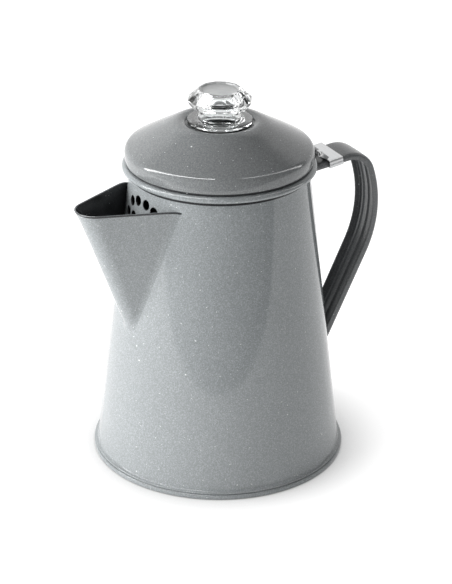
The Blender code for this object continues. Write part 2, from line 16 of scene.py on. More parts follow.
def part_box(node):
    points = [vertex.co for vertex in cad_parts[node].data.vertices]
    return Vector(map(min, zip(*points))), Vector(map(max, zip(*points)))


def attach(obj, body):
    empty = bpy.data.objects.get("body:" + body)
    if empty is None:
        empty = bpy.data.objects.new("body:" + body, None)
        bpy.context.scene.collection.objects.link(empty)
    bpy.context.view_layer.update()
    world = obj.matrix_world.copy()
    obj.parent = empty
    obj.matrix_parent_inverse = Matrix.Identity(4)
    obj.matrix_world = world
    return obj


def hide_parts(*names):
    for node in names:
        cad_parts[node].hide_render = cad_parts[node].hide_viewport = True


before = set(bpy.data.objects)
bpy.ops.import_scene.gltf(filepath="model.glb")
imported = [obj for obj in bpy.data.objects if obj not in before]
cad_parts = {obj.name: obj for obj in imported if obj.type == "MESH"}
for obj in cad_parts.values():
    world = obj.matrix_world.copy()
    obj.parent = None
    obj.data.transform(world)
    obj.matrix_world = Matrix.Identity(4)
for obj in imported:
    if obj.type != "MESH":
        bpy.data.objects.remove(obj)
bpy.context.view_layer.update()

MM = 0.001
FINE = 160  # segments round the large turned pieces

# Camera, as the reference view has it
AIM = Vector((4.0, -2.1, 103.6)) * MM
AZIMUTH = math.radians(27.5)
ELEVATION = math.radians(25.31)
ROLL = math.radians(0.43)
DISTANCE = 1.3764
LENS = 135.75

# Pot wall: a cone that narrows upwards
WALL_R_FOOT = 77.4 * MM
WALL_SLOPE = 0.11876
SHEET = 1.0 * MM
CONE_FROM_Z, CONE_TO_Z = 13 * MM, 186.5 * MM  # between the foot's flare and the bead
NEAR_PARALLEL = 0.995
CURL = (56.7 * MM, 189.7 * MM)
CURL_SIZE = (2.8 * MM, 2.1 * MM)

# Spout
SPOUT_LOW_Z = 96.5 * MM
SPOUT_TOP_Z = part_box("spout")[1].z
SPOUT_LEAN = 32.4 * MM
SPOUT_LIP = 1.1 * MM
SPOUT_TURN = math.radians(5.5)
SPOUT_SPREAD = (22.4, 12.0)
SPOUT_NOSE = (10.0 * MM, 12.2 * MM)

# Strainer holes behind the spout: (height, angles in degrees each side of their middle line)
STRAINER_R = 3.2 * MM
STRAINER_TURN = math.radians(7.5)
STRAINER_ROWS = (
    (177.3, (4.3,)),
    (174.8, (11.7,)),
    (166.3, (0.0, 8.4, 16.8)),
    (157.5, (4.2, 12.6)),
    (148.7, (0.0, 8.4)),
)

# Handle strap: its outer face's line in the XZ plane
STRAP_HALF = (12.2, 10.6)
STRAP_DEPTH = (2.8, 4.5)
STRAP_RISE = math.radians(8.5)
STRAP_TOP_BEND = (83.8 * MM, 184.9 * MM)
STRAP_BENDS = ((17.9 * MM, math.radians(-70.0), 24), (75.0 * MM, math.radians(-115.7), 24))
STRAP_FALL_LENGTH = 78 * MM

# Hinge clip
CLIP_HALF = 13.9
CLIP_SHEET = 0.8
CLIP_FROM_X = 69.6 * MM
CLIP_LENGTH = 9.5 * MM
PIN = (66.0 * MM, 187.5 * MM)
EAR_FROM, EAR_TO = 5.3, 8.6
KNUCKLE_R = 1.9 * MM
PIN_BORE_R = 1.1 * MM

# Knob
KNOB_FACETS = 12
KNOB_PLUG_R = 14.6
KNOB_BORE_R = 10.5
KNOB_DISH_R = 11.6 * MM


# ---------------------------------------------------------------- outlines


def wall_radius(z):
    return WALL_R_FOOT - WALL_SLOPE * z


def arc(centre, size, start, end, steps):
    """Points on an ellipse from one angle to another, in degrees from +X towards +Z."""
    angles = [math.radians(start + (end - start) * i / steps) for i in range(steps + 1)]
    return [(centre[0] + size[0] * math.cos(a), centre[1] + size[1] * math.sin(a)) for a in angles]


def scaled(points):
    return [(x * MM, z * MM) for x, z in points]


def rounded(corners, steps=5, closed=False):
    """A line in which each corner (x, z, radius) is rounded off."""
    count, line = len(corners), []
    for i, (x, z, radius) in enumerate(corners):
        here = Vector((x, z))
        if radius <= 0 or (not closed and i in (0, count - 1)):
            line.append((x, z))
            continue
        before, after = Vector(corners[i - 1][:2]), Vector(corners[(i + 1) % count][:2])
        back, on = before - here, after - here
        turn = math.pi - back.angle(on)
        reach = min(radius * math.tan(turn / 2), 0.45 * back.length, 0.45 * on.length)
        first, last = here + back.normalized() * reach, here + on.normalized() * reach
        for k in range(steps + 1):
            t = k / steps
            point = (1 - t) ** 2 * first + 2 * t * (1 - t) * here + t * t * last
            line.append((point.x, point.y))
    return line


def smooth(points, steps=6):
    """A curve through the points (Catmull-Rom)."""
    line = []
    for i in range(len(points) - 1):
        p = [Vector(points[min(max(i + k, 0), len(points) - 1)]) for k in (-1, 0, 1, 2)]
        for k in range(steps):
            t = k / steps
            point = 0.5 * (2 * p[1] + (p[2] - p[0]) * t + (2 * p[0] - 5 * p[1] + 4 * p[2] - p[3]) * t**2
                           + (3 * p[1] - p[0] - 3 * p[2] + p[3]) * t**3)
            line.append((point.x, point.y))
    return line + [tuple(points[-1])]


def offset_line(points, distance):
    """The same open line moved sideways, to the left of its direction."""
    moved = []
    for i, point in enumerate(points):
        before = Vector(points[max(i - 1, 0)])
        after = Vector(points[min(i + 1, len(points) - 1)])
        along = (after - before).normalized()
        moved.append((point[0] - along.y * distance, point[1] + along.x * distance))
    return moved


# ---------------------------------------------------------------- meshes


def mesh_object(name, bm, sharp=35):
    """An object from a bmesh, smooth except across edges sharper than the angle."""
    bmesh.ops.remove_doubles(bm, verts=bm.verts, dist=1e-6)
    bmesh.ops.recalc_face_normals(bm, faces=bm.faces)
    mesh = bpy.data.meshes.new(name)
    bm.to_mesh(mesh)
    bm.free()
    mesh.shade_smooth()
    mesh.set_sharp_from_angle(angle=math.radians(sharp))
    obj = bpy.data.objects.new(name, mesh)
    bpy.context.scene.collection.objects.link(obj)
    return obj


def grid_faces(bm, rows, wrap_rows=False, wrap_columns=False, slot=lambda i: 0):
    """Quads between neighbouring rows of vertices."""
    row_count, columns = len(rows), len(rows[0])
    for i in range(row_count if wrap_rows else row_count - 1):
        first, second = rows[i], rows[(i + 1) % row_count]
        for j in range(columns if wrap_columns else columns - 1):
            k = (j + 1) % columns
            corners = list(dict.fromkeys((first[j], first[k], second[k], second[j])))
            if len(corners) > 2:
                bm.faces.new(corners).material_index = slot(i)


def turned(name, profile, segments=FINE, closed=True, sharp=35, slot=lambda i: 0):
    """A profile of (radius, z) turned about Z. An open one has its ends on the axis."""
    bm = bmesh.new()
    rings = []
    for radius, z in profile:
        if radius < 1e-7:
            rings.append([bm.verts.new((0, 0, z))] * segments)
            continue
        turns = [math.tau * (k + 0.5) / segments for k in range(segments)]
        rings.append([bm.verts.new((radius * math.cos(a), radius * math.sin(a), z)) for a in turns])
    grid_faces(bm, rings, wrap_rows=closed, wrap_columns=True, slot=slot)
    return mesh_object(name, bm, sharp)


def swept(name, rings, sharp=35):
    """Rings of points joined one to the next, with flat ends."""
    bm = bmesh.new()
    rows = [[bm.verts.new(point) for point in ring] for ring in rings]
    grid_faces(bm, rows, wrap_columns=True)
    bm.faces.new(rows[0])
    bm.faces.new(rows[-1])
    return mesh_object(name, bm, sharp)


def rod(radius, start, end, sides=32):
    start, end = Vector(start), Vector(end)
    bm = bmesh.new()
    bmesh.ops.create_cone(bm, cap_ends=True, segments=sides, radius1=radius, radius2=radius,
                          depth=(end - start).length)
    turn = (end - start).to_track_quat("Z", "Y").to_matrix().to_4x4()
    bmesh.ops.transform(bm, verts=bm.verts, matrix=Matrix.Translation((start + end) / 2) @ turn)
    return mesh_object("tool", bm)


def block(low, high):
    low, high = Vector(low), Vector(high)
    bm = bmesh.new()
    bmesh.ops.create_cube(bm, size=1.0)
    bmesh.ops.scale(bm, verts=bm.verts, vec=high - low)
    bmesh.ops.translate(bm, verts=bm.verts, vec=(low + high) / 2)
    return mesh_object("tool", bm)


def applied(obj, sharp=None):
    """The object with its modifiers turned into mesh."""
    bpy.context.view_layer.update()
    graph = bpy.context.evaluated_depsgraph_get()
    old, mesh = obj.data, bpy.data.meshes.new_from_object(obj.evaluated_get(graph))
    obj.modifiers.clear()
    obj.data = mesh
    bpy.data.meshes.remove(old)
    if sharp is not None:
        mesh.shade_smooth()
        mesh.set_sharp_from_angle(angle=math.radians(sharp))
    return obj


def joined(pieces):
    """Pieces that don't touch each other, as one mesh."""
    bm = bmesh.new()
    for piece in pieces:
        bm.from_mesh(piece.data)
        bpy.data.objects.remove(piece, do_unlink=True)
    return mesh_object("tool", bm)


def combined(obj, tool, operation, sharp=35):
    modifier = obj.modifiers.new("Boolean", "BOOLEAN")
    modifier.operation, modifier.solver, modifier.object = operation, "EXACT", tool
    applied(obj, sharp)
    bpy.data.objects.remove(tool, do_unlink=True)
    return obj


def cut(obj, tool, sharp=35):
    return combined(obj, tool, "DIFFERENCE", sharp)


def bevelled(obj, width, segments=2, angle=30):
    modifier = obj.modifiers.new("Bevel", "BEVEL")
    modifier.width, modifier.segments = width, segments
    modifier.limit_method, modifier.angle_limit = "ANGLE", math.radians(angle)
    modifier.harden_normals = False
    return obj


def placed(obj, body, node, slot, *materials):
    """The piece stands for a CAD node, rides on its body and wears these materials.

    Clearing the materials would also forget which face wears which, so that is kept."""
    worn = [face.material_index for face in obj.data.polygons]
    obj.data.materials.clear()
    for material in materials:
        obj.data.materials.append(material)
    obj.data.polygons.foreach_set("material_index", worn)
    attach(obj, body)
    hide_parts(node)
    return obj


# ---------------------------------------------------------------- materials


SPECK_EDGE = 0.12  # how soft a speck's edge is, as a share of its radius
SPECK_WHITE = (0.72, 0.74, 0.74)
GLASS_IOR = 1.5


class Nodes:
    """Short calls for building one material's node tree."""

    def __init__(self, name):
        self.material = bpy.data.materials.new(name)
        self.material.use_nodes = True
        self.tree = self.material.node_tree
        self.shader = self.tree.nodes["Principled BSDF"]
        self.place = self.add("ShaderNodeTexCoord").outputs["Object"]

    def add(self, kind, **settings):
        node = self.tree.nodes.new(kind)
        for key, value in settings.items():
            setattr(node, key, value)
        return node

    def feed(self, socket, value):
        if isinstance(value, bpy.types.NodeSocket):
            self.tree.links.new(value, socket)
        else:
            socket.default_value = value

    def set(self, **values):
        for key, value in values.items():
            self.feed(self.shader.inputs[key.replace("_", " ")], value)

    def noise(self, scale, detail=3.0, place=None):
        node = self.add("ShaderNodeTexNoise")
        self.feed(node.inputs["Vector"], place or self.place)
        self.feed(node.inputs["Scale"], scale)
        self.feed(node.inputs["Detail"], detail)
        return node.outputs["Fac"]

    def stretched(self, scale):
        node = self.add("ShaderNodeMapping")
        self.feed(node.inputs["Vector"], self.place)
        self.feed(node.inputs["Scale"], scale)
        return node.outputs["Vector"]

    def math(self, operation, first, second=0.0):
        node = self.add("ShaderNodeMath", operation=operation)
        self.feed(node.inputs[0], first)
        self.feed(node.inputs[1], second)
        return node.outputs[0]

    def ramp(self, value, low, high, to_low=0.0, to_high=1.0):
        node = self.add("ShaderNodeMapRange")
        for key, given in (("Value", value), ("From Min", low), ("From Max", high),
                           ("To Min", to_low), ("To Max", to_high)):
            self.feed(node.inputs[key], given)
        return node.outputs["Result"]

    def mix(self, factor, first, second):
        node = self.add("ShaderNodeMix", data_type="RGBA")
        self.feed(node.inputs["Factor"], factor)
        for socket, colour in ((node.inputs["A"], first), (node.inputs["B"], second)):
            self.feed(socket, (*colour, 1.0) if isinstance(colour, tuple) else colour)
        return node.outputs["Result"]

    def specks(self, scale, radius):
        """1 inside scattered dots: about one to a cell of 1/scale metres, at most radius wide."""
        node = self.add("ShaderNodeTexVoronoi", feature="F1")
        self.feed(node.inputs["Vector"], self.place)
        self.feed(node.inputs["Scale"], scale)
        chance = self.add("ShaderNodeSeparateColor")
        self.feed(chance.inputs["Color"], node.outputs["Color"])
        reach = self.math("MULTIPLY", self.math("POWER", chance.outputs["Red"], 2.2), radius * scale)
        depth = self.math("SUBTRACT", reach, node.outputs["Distance"])
        return self.ramp(depth, 0.0, SPECK_EDGE * radius * scale)

    def bump(self, height, strength, distance, normal=None):
        node = self.add("ShaderNodeBump")
        self.feed(node.inputs["Height"], height)
        self.feed(node.inputs["Strength"], strength)
        self.feed(node.inputs["Distance"], distance)
        if normal is not None:
            self.feed(node.inputs["Normal"], normal)
        return node.outputs["Normal"]


def shade(colour, factor):
    return tuple(channel * factor for channel in colour)


def enamel(name, colour, roughness=0.07, specks=1.0):
    """Fired enamel: a glassy coat over mottled grey, with pale specks and a faint orange peel."""
    n = Nodes(name)
    cloud = n.noise(22.0, 2.0)
    grain = n.noise(2000.0, 1.0)
    base = n.mix(n.ramp(cloud, 0.3, 0.7), shade(colour, 0.95), shade(colour, 1.05))
    base = n.mix(n.ramp(grain, 0.3, 0.7), shade(colour, 0.72), base)
    base = n.mix(n.ramp(n.noise(1300.0, 1.0), 0.45, 0.75, 0.0, 0.6), base, shade(colour, 1.5))
    dots = n.math("MAXIMUM", n.specks(170.0, 0.55 * MM), n.specks(400.0, 0.34 * MM))
    base = n.mix(n.math("MULTIPLY", dots, 0.85 * specks), base, SPECK_WHITE)
    n.set(Base_Color=base, Roughness=n.ramp(cloud, 0.3, 0.7, roughness * 0.85, roughness * 1.2))
    n.shader.inputs["Specular IOR Level"].default_value = 0.5
    peel = n.bump(n.noise(200.0, 1.0), 0.06, 0.12 * MM)
    n.set(Normal=n.bump(dots, 0.15, 0.05 * MM, peel))
    return n.material


def satin_steel(name, colour, along, roughness=0.3):
    """Rolled sheet: fine scratches along one axis, and a few longer ones."""
    n = Nodes(name)
    fine = tuple(90.0 if axis == along else 4000.0 for axis in range(3))
    long = tuple(30.0 if axis == along else 900.0 for axis in range(3))
    grain = n.noise(1.0, 2.0, n.stretched(fine))
    streak = n.noise(1.0, 2.0, n.stretched(long))
    n.set(Base_Color=n.mix(streak, shade(colour, 0.9), shade(colour, 1.06)),
          Roughness=n.ramp(grain, 0.2, 0.8, roughness * 0.8, roughness * 1.3),
          Normal=n.bump(grain, 0.10, 0.03 * MM))
    n.shader.inputs["Metallic"].default_value = 1.0
    return n.material


def spun_aluminium(name, colour, roughness):
    """Spun sheet: rings from the tool about the axis, and a dull bloom."""
    n = Nodes(name)
    parts = n.add("ShaderNodeSeparateXYZ")
    n.feed(parts.inputs[0], n.place)
    square = n.math("ADD", n.math("MULTIPLY", parts.outputs["X"], parts.outputs["X"]),
                    n.math("MULTIPLY", parts.outputs["Y"], parts.outputs["Y"]))
    out = n.add("ShaderNodeCombineXYZ")
    n.feed(out.inputs[0], n.math("SQRT", square))
    n.feed(out.inputs[2], parts.outputs["Z"])
    rings = n.noise(1400.0, 1.0, out.outputs[0])
    bloom = n.noise(60.0, 4.0)
    n.set(Base_Color=n.mix(bloom, shade(colour, 0.86), shade(colour, 1.04)),
          Roughness=n.ramp(bloom, 0.3, 0.7, roughness * 0.8, roughness * 1.25),
          Normal=n.bump(rings, 0.15, 0.05 * MM))
    n.shader.inputs["Metallic"].default_value = 1.0
    return n.material


def clear_glass(name):
    """Pressed glass, with the slight waves of its mould."""
    n = Nodes(name)
    n.set(Base_Color=n.mix(n.noise(40.0, 1.0), (0.95, 0.97, 0.97), (0.985, 0.995, 0.995)),
          Normal=n.bump(n.noise(120.0, 1.0), 0.05, 0.1 * MM))
    n.shader.inputs["Roughness"].default_value = 0.0
    n.shader.inputs["IOR"].default_value = GLASS_IOR
    n.shader.inputs["Transmission Weight"].default_value = 1.0
    return n.material


def milky_glass(name):
    """The dished top of the glass, which scatters what passes through it."""
    n = Nodes(name)
    n.set(Base_Color=n.mix(n.noise(300.0, 2.0), (0.40, 0.41, 0.41), (0.56, 0.57, 0.57)))
    n.shader.inputs["Roughness"].default_value = 0.3
    n.shader.inputs["IOR"].default_value = GLASS_IOR
    n.shader.inputs["Transmission Weight"].default_value = 0.35
    return n.material


def black_rubber(name):
    n = Nodes(name)
    mottle = n.noise(500.0, 3.0)
    n.set(Base_Color=n.mix(mottle, (0.012, 0.012, 0.013), (0.03, 0.03, 0.03)),
          Roughness=n.ramp(mottle, 0.3, 0.7, 0.5, 0.7), Normal=n.bump(mottle, 0.2, 0.1 * MM))
    return n.material


BODY_GREY = (0.264, 0.282, 0.289)
# The lid's grey is the body's enamel set darker: painted shade on the lid.
LID_GREY = (0.184, 0.193, 0.196)
HANDLE_GREY = (0.125, 0.130, 0.134)
# Near-black painted shade for the spout: its inside and a line on its outer face just under the lip.
SPOUT_SHADE_GREY = (0.035, 0.037, 0.040)
# Near-black painted shade: worn inside the pot, on the strainer holes' sides, in a line under the bead,
# under the lid and on its collar.
PAINTED_SHADE_GREY = (0.030, 0.031, 0.033)

body_enamel = enamel("body_enamel", BODY_GREY)
lid_enamel = enamel("lid_enamel", LID_GREY)
handle_enamel = enamel("handle_enamel", HANDLE_GREY, 0.22, 0.5)
spout_shade_enamel = enamel("spout_shade_enamel", SPOUT_SHADE_GREY, 0.2, 0.4)
painted_shade_enamel = enamel("painted_shade_enamel", PAINTED_SHADE_GREY, 0.2, 0.5)
clip_steel = satin_steel("clip_steel", (0.62, 0.625, 0.63), 1)
leaf_steel = satin_steel("leaf_steel", (0.24, 0.24, 0.245), 1, 0.38)
pin_steel = satin_steel("pin_steel", (0.62, 0.62, 0.62), 1, 0.22)
valve_steel = satin_steel("valve_steel", (0.60, 0.60, 0.59), 0, 0.25)
insert_aluminium = spun_aluminium("insert_aluminium", (0.72, 0.73, 0.74), 0.34)
knob_glass = clear_glass("knob_glass")
knob_dish = milky_glass("knob_dish")
seal_rubber = black_rubber("seal_rubber")


# ---------------------------------------------------------------- pot


def pot_wall():
    """The cone, rolled over a bead at the rim and flared into the foot's flange; painted shade inside, in
    the strainer holes and in a line under the bead.
    """
    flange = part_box("pot_body")
    foot_r, foot_z = flange[1].x, flange[0].z
    outer = [(wall_radius(z * MM), z * MM) for z in (187, 185.3, 150, 100, 50)]
    foot = rounded([(wall_radius(12 * MM), 12 * MM, 0), (wall_radius(5.2 * MM), 5.2 * MM, 6.5 * MM),
                    (foot_r, foot_z + SHEET, 0.4 * MM), (foot_r, foot_z, 0.4 * MM),
                    (wall_radius(foot_z) - SHEET, foot_z, 0)], 8)
    inner = [(wall_radius(z * MM) - SHEET, z * MM) for z in (50, 100, 150, 187)]
    roll = arc(CURL, CURL_SIZE, 180, -118, 28)
    hollow = arc(CURL, (CURL_SIZE[0] - SHEET, CURL_SIZE[1] - SHEET), -118, 180, 16)
    inside = range(len(outer + foot) - 1, len(outer + foot + inner))
    # Slot 1, the near-black enamel, goes on the inside rows and on the first row, the band just under the
    # bead: painted shade inside the pot and a painted shadow line under the bead.
    wall = turned("pot_wall", outer + foot + inner + roll + hollow,
                  slot=lambda i: int(i in inside or i == 0))
    tools = []
    for height, angles in STRAINER_ROWS:
        for angle in sorted({side * a for a in angles for side in (-1, 1)}):
            turn = math.pi + STRAINER_TURN + math.radians(angle)
            ends = [Vector((r * math.cos(turn), r * math.sin(turn), height * MM))
                    for r in (wall_radius(height * MM) - 6 * MM, wall_radius(height * MM) + 6 * MM)]
            tools.append(rod(STRAINER_R, *ends))
    holes = joined(tools)
    # The holes' sides wear slot 1 too: painted shade in the strainer holes.
    for face in holes.data.polygons:
        face.material_index = 1
    cut(wall, holes)
    cone_normals(wall)
    return placed(wall, "pot", "pot_body", "body_enamel", body_enamel, painted_shade_enamel)


def cone_normals(obj):
    """Gives the wall's faces the cone's own normals, so that the holes leave no ripples round them."""
    mesh = obj.data
    lean = Vector((1.0, 0.0, WALL_SLOPE)).normalized()
    normals = []
    for face in mesh.polygons:
        for index in face.loop_indices:
            point = mesh.vertices[mesh.loops[index].vertex_index].co
            across = Vector((point.x, point.y)).normalized()
            cone = Vector((across.x * lean.x, across.y * lean.x, lean.z))
            facing = face.normal.dot(cone)
            on_wall = abs(facing) > NEAR_PARALLEL and CONE_FROM_Z < point.z < CONE_TO_Z
            normals.append(cone * math.copysign(1.0, facing) if on_wall
                           else Vector(mesh.corner_normals[index].vector))
    mesh.normals_split_custom_set(normals)


def pot_foot():
    """The bottom disc, its edge folded up round the wall's flange."""
    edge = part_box("pot_base")[1]
    profile = rounded([
        (0, 1.2 * MM, 0), (75.2 * MM, 1.2 * MM, 0.4 * MM), (76.3 * MM, edge.z, 0.2 * MM),
        (edge.x, edge.z, 1.2 * MM), (edge.x, 0, 1.1 * MM), (73.5 * MM, 0, 0.6 * MM),
        (72.5 * MM, 0.3 * MM, 0.6 * MM), (0, 0.3 * MM, 0)], 6)
    disc = turned("pot_foot", profile, closed=False)
    return placed(disc, "pot", "pot_base", "body_enamel", body_enamel)


def spout_radius(angle, z, offset):
    """Distance from the axis to the spout's sheet, on a ray at an angle from its middle plane."""
    up = (z - SPOUT_LOW_Z) / (SPOUT_TOP_Z - SPOUT_LOW_Z)
    tip = wall_radius(SPOUT_LOW_Z) + SPOUT_LEAN * up + SPOUT_LIP * up**8 + offset
    nose = SPOUT_NOSE[0] + (SPOUT_NOSE[1] - SPOUT_NOSE[0]) * up + offset
    spread = math.radians(SPOUT_SPREAD[0] + SPOUT_SPREAD[1] * max(1.0 - up, 0.0) ** 1.3)
    centre, angle = tip - nose, abs(angle)
    touch = math.atan2(nose * math.cos(spread), centre + nose * math.sin(spread))
    if angle < touch:
        return centre * math.cos(angle) + math.sqrt(nose**2 - (centre * math.sin(angle)) ** 2)
    return (centre * math.sin(spread) + nose) / math.sin(spread + angle)


def spout_sheet():
    """A folded sheet whose edges melt into the wall, with painted shade on its inside and in a dark line
    on its outer face just under the lip.
    """
    span, columns, rows = math.radians(41), 120, 56
    low = SPOUT_LOW_Z - 9 * MM
    blend, sunk = 2.4 * MM, 0.35 * MM
    bm = bmesh.new()
    outer, inner = [], []
    for rise in [k / rows for k in range(rows)] + [0.991, 1.0]:
        outer_row, inner_row = [], []
        for j in range(columns + 1):
            share = 2 * j / columns - 1
            angle = span * share * (0.55 + 0.45 * share * share)
            corner = max(abs(angle) - math.radians(24), 0.0) / math.radians(9)
            drop = (0.6 if angle > 0 else 2.8) * MM * min(corner, 1.0) ** 2
            z = low + (SPOUT_TOP_Z - 0.5 * MM - drop - low) * rise
            wall = wall_radius(z)
            out, back = spout_radius(angle, z, SHEET / 2), spout_radius(angle, z, -SHEET / 2)
            near = max(blend - abs(out - wall), 0.0) / blend
            radius = max(out, wall) + near**2 * blend / 4
            radius -= sunk * min(max((wall - out) / blend - 0.2, 0.0), 1.0)
            inside = max(back, wall - 0.6 * MM)
            turn = math.pi + SPOUT_TURN + angle
            way = Vector((math.cos(turn), math.sin(turn), 0))
            outer_row.append(bm.verts.new(way * radius + Vector((0, 0, z))))
            inner_row.append(bm.verts.new(way * min(inside, radius - 0.2 * MM) + Vector((0, 0, z))))
        outer.append(outer_row)
        inner.append(inner_row)
    lips = []
    for lift in (0.28, 0.42, 0.28):
        share = 0.25 * (len(lips) + 1)
        lips.append([bm.verts.new(a.co.lerp(b.co, share) + Vector((0, 0, lift * MM)))
                     for a, b in zip(outer[-1], inner[-1])])
    rings = outer + lips + inner[::-1]
    inside_from = len(outer) + len(lips)
    # Slot 1 is painted shade: the inside rows and the two outer rows just under the lip.
    grid_faces(bm, rings, wrap_rows=True,
               slot=lambda i: int(i >= inside_from or len(outer) - 2 <= i < len(outer)))
    for side in (0, -1):
        edge = [ring[side] for ring in rings]
        bm.faces.new(edge if side else edge[::-1])
    spout = mesh_object("spout_sheet", bm, 50)
    return placed(spout, "pot", "spout", "body_enamel", body_enamel, spout_shade_enamel)


# ---------------------------------------------------------------- handle


def strap_path():
    """The outer face's line in XZ: a rise from the rim, two bends and a straight fall to the wall."""
    bend = Vector(STRAP_TOP_BEND)
    heading = STRAP_RISE
    start_x = 50 * MM
    start = Vector((start_x, bend.y - (bend.x - start_x) * math.tan(STRAP_RISE)))
    points = [start.lerp(bend, i / 12) for i in range(13)]
    for radius, end, steps in STRAP_BENDS:
        centre = bend + radius * Vector((math.sin(heading), -math.cos(heading)))
        for i in range(1, steps + 1):
            angle = heading + (end - heading) * i / steps
            points.append(centre + radius * Vector((-math.sin(angle), math.cos(angle))))
        bend, heading = points[-1], end
    fall = STRAP_FALL_LENGTH * Vector((math.cos(heading), math.sin(heading)))
    return points + [bend + fall * i / 24 for i in range(1, 25)]


def strap_section(along):
    """Half of the channel's section from its middle outwards and back: (across, depth)."""
    half = STRAP_HALF[0] + (STRAP_HALF[1] - STRAP_HALF[0]) * along
    depth = STRAP_DEPTH[0] + (STRAP_DEPTH[1] - STRAP_DEPTH[0]) * min(4 * along, 1.0)
    web = SHEET / MM
    outside = [(0, -0.25, 0), (half * 0.6, -0.12, 9), (half, 0.0, 2.3), (half, depth, 0.45),
               (half - web, depth, 0.45), (half - web, web + 0.1, 1.5), (half - 3.1, web, 0.8)]
    ribs = []
    for centre in (6.1, 0.0):
        for across, rise in ((1.8, 0.0), (0.75, 0.9), (-0.75, 0.9), (-1.8, 0.0)):
            if centre + across > 0:
                ribs.append((centre + across, web + rise, 0.5))
    return rounded(outside + ribs + [(0.0, web + 0.9, 0)], 4)


def outside_wall(x, y, z):
    """The point, or where it would be inside the pot, the middle of the wall's sheet beside it."""
    reach = max((wall_radius(z) - SHEET / 2) / math.hypot(x, y), 1.0)
    return (x * reach, y * reach, z)


def handle_strap():
    path = strap_path()
    lengths = [0.0]
    for a, b in zip(path, path[1:]):
        lengths.append(lengths[-1] + (b - a).length)
    rings = []
    for i, point in enumerate(path):
        before, after = path[max(i - 1, 0)], path[min(i + 1, len(path) - 1)]
        inward = Vector(((after - before).y, -(after - before).x)).normalized()
        half = strap_section(lengths[i] / lengths[-1])
        section = half + [(-across, down) for across, down in reversed(half[1:-1])]
        ring = []
        for across, down in section:
            place = point + inward * down * MM
            ring.append(outside_wall(place.x, across * MM, place.y))
        rings.append(ring)
    strap = swept("handle_strap_sheet", rings, 60)
    return placed(strap, "pot", "handle_strap", "handle_enamel", handle_enamel)


def strap_height(x):
    return STRAP_TOP_BEND[1] - (STRAP_TOP_BEND[0] - x) * math.tan(STRAP_RISE)


def on_pin(radius, low, high):
    return rod(radius, (PIN[0], low, PIN[1]), (PIN[0], high, PIN[1]))


def hinge_clip():
    """The sheet band folded round the strap, with an ear each side of the lid's leaf."""
    half, sheet, low, lip = CLIP_HALF, CLIP_SHEET, -3.1 - CLIP_SHEET, 8.5
    top = 0.6 + sheet
    groove = [(half, -0.9, 0.1), (half - 0.4, -1.1, 0.1), (half - 0.4, -1.5, 0.1), (half, -1.7, 0.1)]
    side = [(0, top, 0), (half, top, 1.1), *groove, (half, low, 0.9), (lip, low, 0.2),
            (lip, low + sheet, 0.2), (half - sheet, low + sheet, 0.4),
            (half - sheet, top - sheet, 0.6), (0, top - sheet, 0)]
    line = rounded(side, 5)
    section = line + [(-across, up) for across, up in reversed(line[1:-1])]
    start = Vector((CLIP_FROM_X, 0.0, strap_height(CLIP_FROM_X)))
    along = Vector((math.cos(STRAP_RISE), 0.0, math.sin(STRAP_RISE)))
    up_way = Vector((-along.z, 0.0, along.x))
    rings = [[start + along * CLIP_LENGTH * k + Vector((0, a * MM, 0)) + up_way * u * MM
              for a, u in section] for k in (0.0, 0.5, 1.0)]
    clip = swept("hinge_clip_band", rings, 40)
    root = start + up_way * top * MM + along * 2.0 * MM
    for way in (-1, 1):
        ear = [(root.x + 0.6 * MM, root.z), (PIN[0] + 0.4 * MM, PIN[1] + KNUCKLE_R - 0.1 * MM),
               (PIN[0] - 1.0 * MM, PIN[1] + 0.2 * MM), (PIN[0] - 0.2 * MM, PIN[1] - KNUCKLE_R + 0.1 * MM),
               (root.x - 1.6 * MM, root.z - sheet * MM - 0.2 * MM), (root.x, root.z - sheet * MM)]
        ends = sorted((way * EAR_FROM * MM, way * EAR_TO * MM))
        arm = swept("tool", [[(x, y, z) for x, z in ear] for y in ends], 40)
        combined(clip, arm, "UNION", 40)
        combined(clip, on_pin(KNUCKLE_R, *ends), "UNION", 40)
    cut(clip, on_pin(PIN_BORE_R, -20 * MM, 20 * MM), 40)
    return placed(clip, "pot", "hinge_clip", "satin_steel", clip_steel)


# ---------------------------------------------------------------- lid and knob


def lid_shell():
    """The lid: a flat seat for the knob, a domed boss, a rounded shoulder and a drawn-in edge, with
    painted shade on the edge's lowest band and underside.
    """
    seat_z = 216.7
    seat = rounded([(15.3, seat_z, 0), (20.8, seat_z, 0.3), (21.4, 217.7, 0.5), (22.6, 218.2, 0)], 4)
    boss = smooth([(22.6, 218.2), (24.4, 218.5), (26.6, 218.2), (29.5, 217.1), (33.0, 215.3),
                   (37.0, 213.1), (41.0, 210.95), (45.5, 208.5), (50.0, 205.97)], 6)
    shoulder = [(x / MM, z / MM) for x, z in arc((52.8 * MM, 198.5 * MM), (5.0 * MM, 5.1 * MM), 60, 2, 22)]
    edge = [(57.9, 195.8), (57.6, 194.4), (57.3, 193.4), (56.9, 192.2)]
    line = scaled(seat + boss[1:] + shoulder + edge)
    under = offset_line(line, -SHEET)
    under[0] = (line[0][0], line[0][1] - SHEET)
    under[-1] = (line[-1][0] - 0.9 * SHEET, line[-1][1] + 0.1 * SHEET)
    # Slot 1, the near-black enamel, goes on the lowest band of the edge and on the underside: painted
    # shade in the gap over the rim.
    lid = turned("lid_shell", line + under[::-1], slot=lambda i: int(i >= len(line) - 2))
    notches = [block((-3.2 * MM, (side * 16.4 - 1.6) * MM, 214 * MM),
                     (3.2 * MM, (side * 16.4 + 1.6) * MM, 219 * MM)) for side in (-1, 1)]
    cut(lid, joined(notches))
    return placed(lid, "lid", "lid_dome", "lid_enamel", lid_enamel, painted_shade_enamel)


